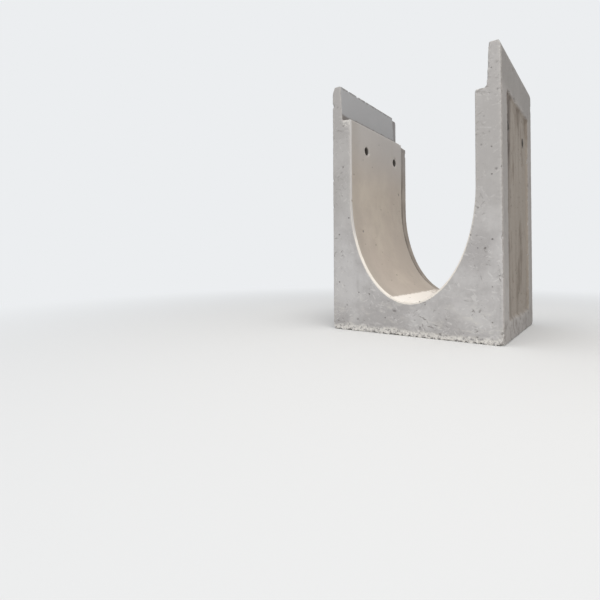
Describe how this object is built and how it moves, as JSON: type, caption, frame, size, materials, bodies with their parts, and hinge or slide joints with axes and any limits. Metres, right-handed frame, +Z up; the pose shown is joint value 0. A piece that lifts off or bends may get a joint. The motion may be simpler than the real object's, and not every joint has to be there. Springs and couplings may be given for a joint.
{
  "type": "u-shaped culvert unit",
  "caption": "Precast concrete U-shaped culvert unit with a curved invert, a cover-slab rebate, lifting holes and a joint recess at one end.",
  "frame": {"origin": "centre of the base", "axes": "+X across the channel, +Y along it from the flat front end to the recessed rear end, +Z up"},
  "size_m": [0.85, 0.75, 1.3],
  "materials": {
    "concrete": "matte"
  },
  "bodies": {
    "root": {"culvert_unit": "concrete"}
  },
  "joints": []
}
